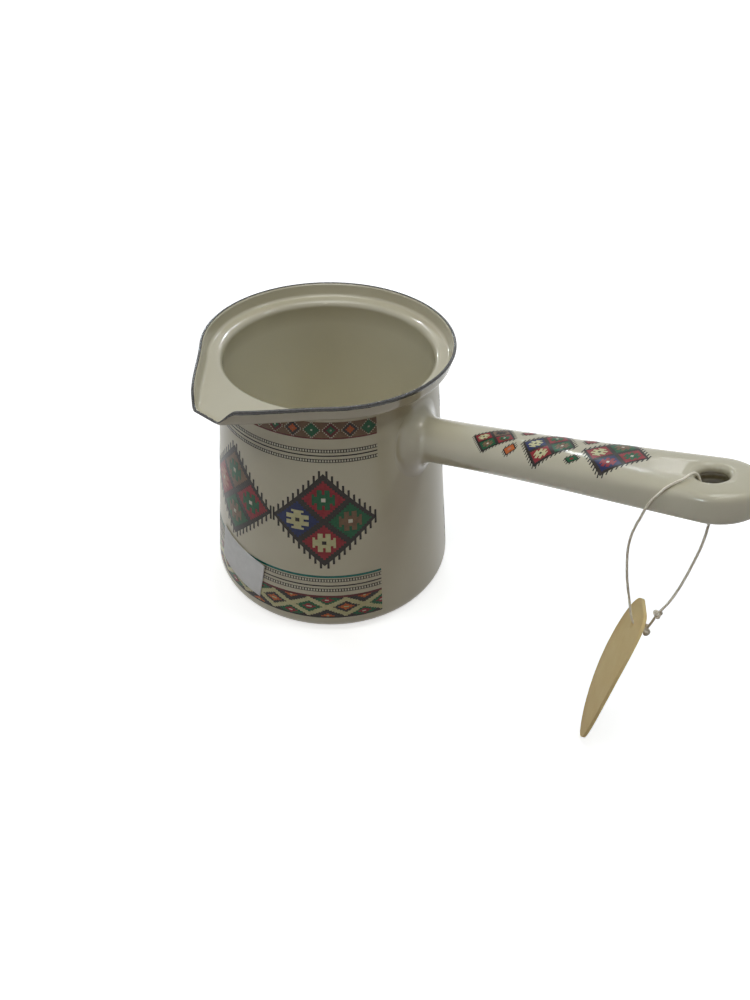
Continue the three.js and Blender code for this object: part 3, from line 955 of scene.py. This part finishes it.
def draw_ladder(sheets, low, high):
    """Two fine dark lines with dark rungs and white cells between them."""
    draw_line(sheets, "white", low, high)
    draw_line(sheets, "dark", low, low + LADDER_LINE, 2)
    draw_line(sheets, "dark", high - LADDER_LINE, high, 2)
    rung_ends = ((low + LADDER_LINE) * MM, (high - LADDER_LINE) * MM)
    count = int((PRINT_ENDS[1] - PRINT_ENDS[0]) / LADDER_PITCH)
    for k in range(count + 1):
        start = PRINT_ENDS[0] + k * LADDER_PITCH
        end = min(start + LADDER_RUNG, PRINT_ENDS[1])
        add_box(sheets, "dark", on_wall, 2, (start, end), rung_ends)


def draw_top_diamond(sheets, middle, level, inks):
    """A stepped diamond with a dotted pale edge, a coloured ring and a small heart."""
    outline, ground, centre = inks
    wide, tall = TOP_CELL
    for reach, ink, layer in ((TOP_STEPS, outline, 2), (TOP_STEPS - 2, ground, 3), (1, centre, 4)):
        for row in range(1 - reach, reach):
            half = (reach - abs(row) - 0.5) * wide
            low = level + (row - 0.5) * tall
            add_box(sheets, ink, on_wall, layer, (middle - half, middle + half), (low, low + tall))
    for k in range(TOP_STEPS):
        for side, up in ((-1, -1), (-1, 1), (1, -1), (1, 1)):
            spot = (middle + side * (k + 0.5) * wide, level + up * (TOP_STEPS - k - 0.5) * tall)
            add_square(sheets, "white", on_wall, 5, spot, TOP_DOT)


def draw_top_band(sheets):
    draw_line(sheets, "tan", *TOP_BAND)
    draw_line(sheets, "maroon", TOP_BAND[0] - TOP_EDGE, TOP_BAND[0])
    count = int((FULL_TURN - 2 * TOP_FIRST) / TOP_PITCH) + 1
    level = sum(TOP_BAND) / 2 * MM
    for order in range(count):
        middle = (FULL_TURN - TOP_FIRST - order * TOP_PITCH) * PRINT_RADIUS
        draw_top_diamond(sheets, middle, level, TOP_INKS[order % len(TOP_INKS)])


def cell_ink(ring, orange):
    """Ink inside one lattice cell, by its distance from the cell's middle as a share of its size."""
    for limit, ink in (ORANGE_CELL if orange else GREEN_CELL):
        if ring < limit:
            return ink
    return "dark"


def lattice_ink(across, up, even):
    """Ink of the lower band at a place in its lattice: across and up run from -1 to 1 over one diamond."""
    ring = abs(across) + abs(up) / LATTICE_RISE
    if abs(ring - 1) < LATTICE_HALF:
        return "cream"
    if ring < 1:
        return cell_ink(ring, even)
    left = across < 0
    orange = (up > 0) == (left == even)
    level = 1 if orange else GREEN_CELL_LEVEL
    return cell_ink(1 - abs(across) + abs(abs(up) - level) / LATTICE_RISE, orange)


def draw_lower_band(sheets):
    """The lattice, drawn row by row as runs of cells of one ink."""
    low, high = LOW_BAND
    draw_line(sheets, "maroon", high, high + LOW_UPPER_EDGE)
    draw_line(sheets, "dark", low - LOW_LOWER_EDGE, low)
    pitch = LOW_PITCH * PRINT_RADIUS
    cell = pitch / LOW_CELLS
    start = (FULL_TURN - LOW_FIRST) * PRINT_RADIUS
    count = int((PRINT_ENDS[1] - PRINT_ENDS[0]) / cell)
    for row in range(LOW_ROWS):
        up = (row - (LOW_ROWS - 1) / 2) / (LOW_ROWS / 2)
        edges = [mix(low, high, share / LOW_ROWS) * MM for share in (row, row + 1)]
        begun = 0
        ink = None
        for column in range(count + 1):
            girth = PRINT_ENDS[1] - (column + 0.5) * cell
            turn = (start - girth) / pitch
            nearest = round(turn)
            here = lattice_ink(2 * (turn - nearest), up, nearest % 2 == 0) if column < count else None
            if here != ink and column:
                run = (PRINT_ENDS[1] - column * cell, PRINT_ENDS[1] - begun * cell)
                add_box(sheets, ink, on_wall, 1, run, edges)
                begun = column
            ink = here


def wall_place(azimuth):
    """Places a medallion's points on the wall round its middle."""
    middle = azimuth * PRINT_RADIUS

    def place(across, up):
        return on_wall(middle + across, MEDALLION_HEIGHT + up)

    return place


def draw_wall_prints():
    sheets = {}
    count = round((FULL_TURN - 2 * MEDALLION_FIRST) / MEDALLION_PITCH) + 1
    for order in range(count):
        azimuth = FULL_TURN - MEDALLION_FIRST - order * MEDALLION_PITCH
        draw_medallion(sheets, wall_place(azimuth), MEDALLIONS[order % len(MEDALLIONS)])
    draw_top_band(sheets)
    for line in WALL_LINES:
        draw_line(sheets, *line)
    for ladder in WALL_LADDERS:
        draw_ladder(sheets, *ladder)
    draw_lower_band(sheets)
    finish_sheets(sheets, "wall_print_")


def on_handle(along, girth):
    """Point and normal on the handle, by the distance round it from the middle of its top."""
    outline = [Vector(point) for point in handle_section(along)]
    way = -1 if girth > 0 else 1
    here = HANDLE_STEPS // 4
    left = abs(girth)
    while left > (outline[here + way] - outline[here]).length:
        left -= (outline[here + way] - outline[here]).length
        here += way
    direction = (outline[here + way] - outline[here]).normalized()
    spot = outline[here] + direction * left
    normal = Vector((0, direction.y * way, -direction.x * way))
    return HANDLE_PLACE @ Vector((along, *spot)), HANDLE_PLACE.to_3x3() @ normal


def handle_place(corners):
    """Places a medallion's points on the handle, in the slanted diamond with those corners."""
    left, right, near = [Vector(corner) * MM for corner in corners]
    middle = (left + right) / 2
    wide, tall = MEDALLION_HALF

    def place(across, up):
        return on_handle(*(middle + (right - left) / 2 * (across / wide) + (middle - near) * (up / tall)))

    return place


def draw_handle_prints():
    sheets = {}
    for corners, inks in HANDLE_MEDALLIONS:
        draw_medallion(sheets, handle_place(corners), inks)
    for corners, ground, centre in HANDLE_SPOTS:
        place = handle_place(corners)
        draw_fringe(sheets, place, "dark", *[half * SPOT_EDGE for half in MEDALLION_HALF], SPOT_TEETH)
        layers = [("dark", SPOT_EDGE), (ground, SPOT_GROUND), (centre, SPOT_HEART)]
        for layer, (ink, share) in enumerate(layers, 1):
            draw_plain_diamond(sheets, place, ink, layer, *[half * share for half in MEDALLION_HALF])
    finish_sheets(sheets, "handle_print_")


# Paper label
def make_label():
    """A bare price label, pressed on askew with one corner lifting a little."""
    vertices = []
    for face in (0, LABEL_THICKNESS):
        for row in range(LABEL_ROWS + 1):
            for column in range(LABEL_COLUMNS + 1):
                along = (column / LABEL_COLUMNS - 0.5) * LABEL_WIDTH
                up = (row / LABEL_ROWS - 0.5) * LABEL_HEIGHT
                height = LABEL_MIDDLE + up * math.cos(LABEL_TILT) + along * math.sin(LABEL_TILT)
                sideways = along * math.cos(LABEL_TILT) - up * math.sin(LABEL_TILT)
                girth = (LABEL_AZIMUTH + sideways / wall_radius(height)) * PRINT_RADIUS
                point, normal = on_wall(girth, height)
                curl = max(0, column / LABEL_COLUMNS + row / LABEL_ROWS - LABEL_CURL_START)
                wave = LABEL_WAVE * noise.noise(Vector((along, up, 0)) * LABEL_WAVE_FINENESS)
                vertices.append(point + normal * (LABEL_LIFT + wave + curl * curl * LABEL_CURL + face))
    faces = slab_faces(LABEL_COLUMNS, LABEL_ROWS)
    add_object("price_label", vertices, faces, PAPER, "pot", ["paper_label"])


# String, knots and tag
def smooth_route(points, steps):
    """A Catmull-Rom curve through the points, with that many steps between each two."""
    ends = [2 * points[0] - points[1]] + points + [2 * points[-1] - points[-2]]
    line = []
    for order in range(1, len(ends) - 2):
        a, b, c, d = ends[order - 1:order + 3]
        for step in range(steps):
            t = step / steps
            line.append(0.5 * (2 * b + (c - a) * t + (2 * a - 5 * b + 4 * c - d) * t * t
                               + (3 * b - a - 3 * c + d) * t ** 3))
    return line + [points[-1]]


def tube(line, radius, sides, ply_depth=0):
    """Vertices and faces of a round strand along a line, twisted where its plies have depth."""
    vertices = []
    side = (line[1] - line[0]).orthogonal().normalized()
    travelled = 0
    for order, point in enumerate(line):
        along = (line[min(order + 1, len(line) - 1)] - line[max(order - 1, 0)]).normalized()
        side = (side - along * side.dot(along)).normalized()
        other = along.cross(side)
        if order:
            travelled += (point - line[order - 1]).length
        for step in range(sides):
            angle = step / sides * FULL_TURN
            out = radius * (1 + ply_depth * math.cos(CORD_PLIES * angle - travelled * CORD_TWIST))
            vertices.append(point + (side * math.cos(angle) + other * math.sin(angle)) * out)
    return vertices, capped_faces(len(line), sides)


CORD_LINE = smooth_route([Vector(point) * MM for point in CORD_ROUTE], CORD_STEPS)


def make_string():
    vertices, faces = tube(CORD_LINE, CORD_DIAMETER / 2, CORD_SIDES, CORD_PLY_DEPTH)
    string = add_object("string_thread", vertices, faces, STRING, None)
    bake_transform(string)
    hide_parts("cord_left_strand", "cord_over_handle", "cord_right_strand", "cord_tie")
    return string


def make_knot(name, place, turn, node, size):
    """A thumb knot pulled tight, as one closed loop that crosses itself three times."""
    turned = Matrix.Rotation(turn, 3, "Z") @ Matrix.Rotation(KNOT_TILT, 3, "X")
    line = []
    for step in range(KNOT_STEPS):
        t = step / KNOT_STEPS * FULL_TURN
        across = math.sin(t) + 2 * math.sin(2 * t)
        away = math.cos(t) - 2 * math.cos(2 * t)
        line.append(place + turned @ Vector((across, away, -math.sin(3 * t))) * size)
    line.append(line[0])
    vertices, faces = tube(line, KNOT_STRAND_RADIUS, KNOT_SIDES)
    return add_object(name, vertices, faces, STRING, "string_loop", [node])


def bezier(corners, t):
    s = 1 - t
    weights = (s ** 3, 3 * s * s * t, 3 * s * t * t, t ** 3)
    return [sum(weight * value for weight, value in zip(weights, values)) for values in zip(*corners)]


def make_tag():
    """A bowed card, pointed at the foot and rounded at the top, with a small hole for the string."""
    up = (TAG_HOLE - TAG_TIP).normalized()
    facing = Vector((-math.cos(TAG_FACING), -math.sin(TAG_FACING), 0))
    side = up.cross(facing).normalized()
    place = Matrix.Translation(TAG_TIP) @ Matrix((side, up, side.cross(up))).transposed().to_4x4()
    edge = [bezier(TAG_LOWER_EDGE, k / TAG_EDGE_STEPS) for k in range(TAG_EDGE_STEPS + 1)]
    edge += [bezier(TAG_UPPER_EDGE, k / TAG_EDGE_STEPS) for k in range(1, TAG_EDGE_STEPS + 1)]
    vertices = []
    for face in (-TAG_THICKNESS / 2, TAG_THICKNESS / 2):
        for width, height in edge:
            bow = TAG_BOW * (1 - (2 * height - 1) ** 2)
            for column in range(TAG_COLUMNS + 1):
                across = (2 * column / TAG_COLUMNS - 1) * width * TAG_WIDTH / 2
                vertices.append(place @ Vector((across, height * TAG_LENGTH, bow + face)))
    tag = add_object("card_tag", vertices, slab_faces(TAG_COLUMNS, len(edge) - 1), CARD, None)
    hole_height = TAG_LENGTH - TAG_HOLE_FROM_TOP
    line = [place @ Vector((0, hole_height, reach)) for reach in (-TAG_PUNCH_REACH, TAG_PUNCH_REACH)]
    punch(tag, *tube(line, TAG_HOLE_DIAMETER / 2, TAG_HOLE_STEPS))
    tag.data.set_sharp_from_angle(angle=TAG_SHARP)
    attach(tag, "tag")
    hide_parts("hang_tag")
    return tag


# Camera, floor and lights
def make_camera():
    level = math.cos(CAMERA_PITCH)
    forward = Vector((math.sin(CAMERA_YAW) * level, math.cos(CAMERA_YAW) * level, -math.sin(CAMERA_PITCH)))
    right = Vector((math.cos(CAMERA_YAW), -math.sin(CAMERA_YAW), 0))
    up = right.cross(forward)
    rolled_right = right * math.cos(CAMERA_ROLL) + up * math.sin(CAMERA_ROLL)
    rolled_up = up * math.cos(CAMERA_ROLL) - right * math.sin(CAMERA_ROLL)
    axes = Matrix((rolled_right, rolled_up, -forward)).transposed().to_4x4()
    data = bpy.data.cameras.new("camera")
    data.lens = CAMERA_LENS
    data.sensor_width = CAMERA_SENSOR
    data.clip_start = CAMERA_NEAREST
    camera = bpy.data.objects.new("camera", data)
    bpy.context.collection.objects.link(camera)
    camera.matrix_world = Matrix.Translation(CAMERA_PLACE) @ Matrix.Rotation(CAMERA_TURN, 4, "Z") @ axes
    bpy.context.scene.camera = camera


def seen_directly(tree):
    """A share that is 1 where the camera looks straight, or through a mirror or glass, and else 0."""
    path = add_node(tree, "ShaderNodeLightPath")
    seen = path.outputs["Is Camera Ray"]
    for ray in ("Is Glossy Ray", "Is Transmission Ray"):
        either = add_node(tree, "ShaderNodeMath")
        either.operation = "MAXIMUM"
        link(seen, either.inputs[0])
        link(path.outputs[ray], either.inputs[1])
        seen = either.outputs["Value"]
    return seen


def choose_shader(tree, unseen, seen, output):
    """Feeds an output from one shader where it is seen directly, and else from the other."""
    choose = add_node(tree, "ShaderNodeMixShader")
    link(seen_directly(tree), choose.inputs["Fac"])
    link(unseen, choose.inputs[1])
    link(seen, choose.inputs[2])
    link(choose.outputs["Shader"], tree.nodes[output].inputs["Surface"])


def floor_material():
    """White where it is seen, with the shadow kept; a warm table where it lights the pot from below."""
    material, tree, table = node_material("white_floor")
    set_sockets(table, {"Base Color": FLOOR_TABLE, "Roughness": FLOOR_TABLE_ROUGHNESS})
    white = add_node(tree, "ShaderNodeBsdfDiffuse", Color=FLOOR_WHITE)
    glow = add_node(tree, "ShaderNodeEmission")
    place = add_node(tree, "ShaderNodeTexCoord")
    away = add_node(tree, "ShaderNodeVectorMath")
    away.operation = "LENGTH"
    fade = add_node(tree, "ShaderNodeMapRange", From_Min=FLOOR_FADE[0], From_Max=FLOOR_FADE[1],
                    To_Min=FLOOR_GLOW[0], To_Max=FLOOR_GLOW[1])
    link(place.outputs["Object"], away.inputs[0])
    link(away.outputs["Value"], fade.inputs["Value"])
    link(fade.outputs["Result"], glow.inputs["Strength"])
    seen = add_node(tree, "ShaderNodeAddShader")
    link(white.outputs["BSDF"], seen.inputs[0])
    link(glow.outputs["Emission"], seen.inputs[1])
    choose_shader(tree, table.outputs["BSDF"], seen.outputs["Shader"], "Material Output")
    return material


def make_floor():
    corners = [(-FLOOR_HALF, -FLOOR_HALF, 0), (FLOOR_HALF, -FLOOR_HALF, 0),
               (FLOOR_HALF, FLOOR_HALF, 0), (-FLOOR_HALF, FLOOR_HALF, 0)]
    floor = add_object("floor", corners, [(0, 1, 2, 3)], floor_material(), None, smooth=False)


def area_light(name, place, target, size, watts, colour, spread):
    data = bpy.data.lights.new(name, "AREA")
    data.shape = "RECTANGLE"
    data.size, data.size_y = size
    data.energy = watts
    data.color = colour
    data.spread = spread
    lamp = bpy.data.objects.new(name, data)
    bpy.context.collection.objects.link(lamp)
    aim = (Vector(target) - Vector(place)).to_track_quat("-Z", "Y")
    lamp.matrix_world = Matrix.Translation(place) @ aim.to_matrix().to_4x4()


def make_world():
    world = bpy.data.worlds.new("studio")
    bpy.context.scene.world = world
    world.use_nodes = True
    tree = world.node_tree
    room = tree.nodes["Background"]
    set_sockets(room, {"Color": (*WHITE, 1), "Strength": ROOM_STRENGTH})
    backdrop = add_node(tree, "ShaderNodeBackground", Color=(*WHITE, 1))
    choose_shader(tree, room.outputs["Background"], backdrop.outputs["Background"], "World Output")


# The pot, its tag and the studio
make_body()
make_edging()
make_handle()
draw_wall_prints()
draw_handle_prints()
make_label()
STRING_THREAD = make_string()
KNOTS = [make_knot("knot_at_strands", UPPER_KNOT, UPPER_KNOT_TURN, "knot_upper", UPPER_KNOT_SIZE),
         make_knot("knot_at_tag", LOWER_KNOT, LOWER_KNOT_TURN, "knot_lower", LOWER_KNOT_SIZE)]
TAG = make_tag()
make_camera()
make_floor()
for name, lamp in LAMPS.items():
    area_light(name, *lamp)
make_world()
bpy.context.scene.view_settings.view_transform = "Standard"
